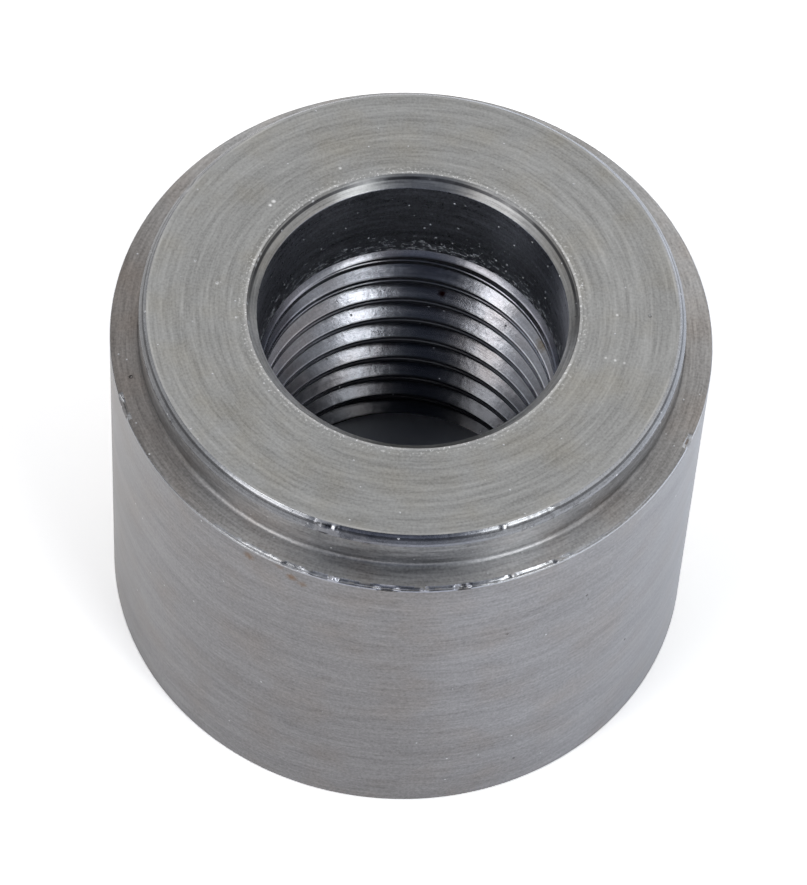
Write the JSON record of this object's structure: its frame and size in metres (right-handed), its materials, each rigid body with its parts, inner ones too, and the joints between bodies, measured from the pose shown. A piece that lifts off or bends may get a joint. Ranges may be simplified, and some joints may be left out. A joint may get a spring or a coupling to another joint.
{
  "type": "weld bung",
  "caption": "Stepped steel weld bung: a turned round body with a narrower register collar on top and a threaded through hole.",
  "frame": {"origin": "centre of the wide end's face, on the bore's axis; the part stands on this face", "axes": "+Z along the bore's axis, from the wide end to the register end"},
  "size_m": [0.025, 0.025, 0.019],
  "materials": {
    "turned_steel": "bare low-carbon steel, faced and turned, with fine tool lines, uncoated"
  },
  "bodies": {
    "root": {"bung": "turned_steel"}
  },
  "joints": []
}
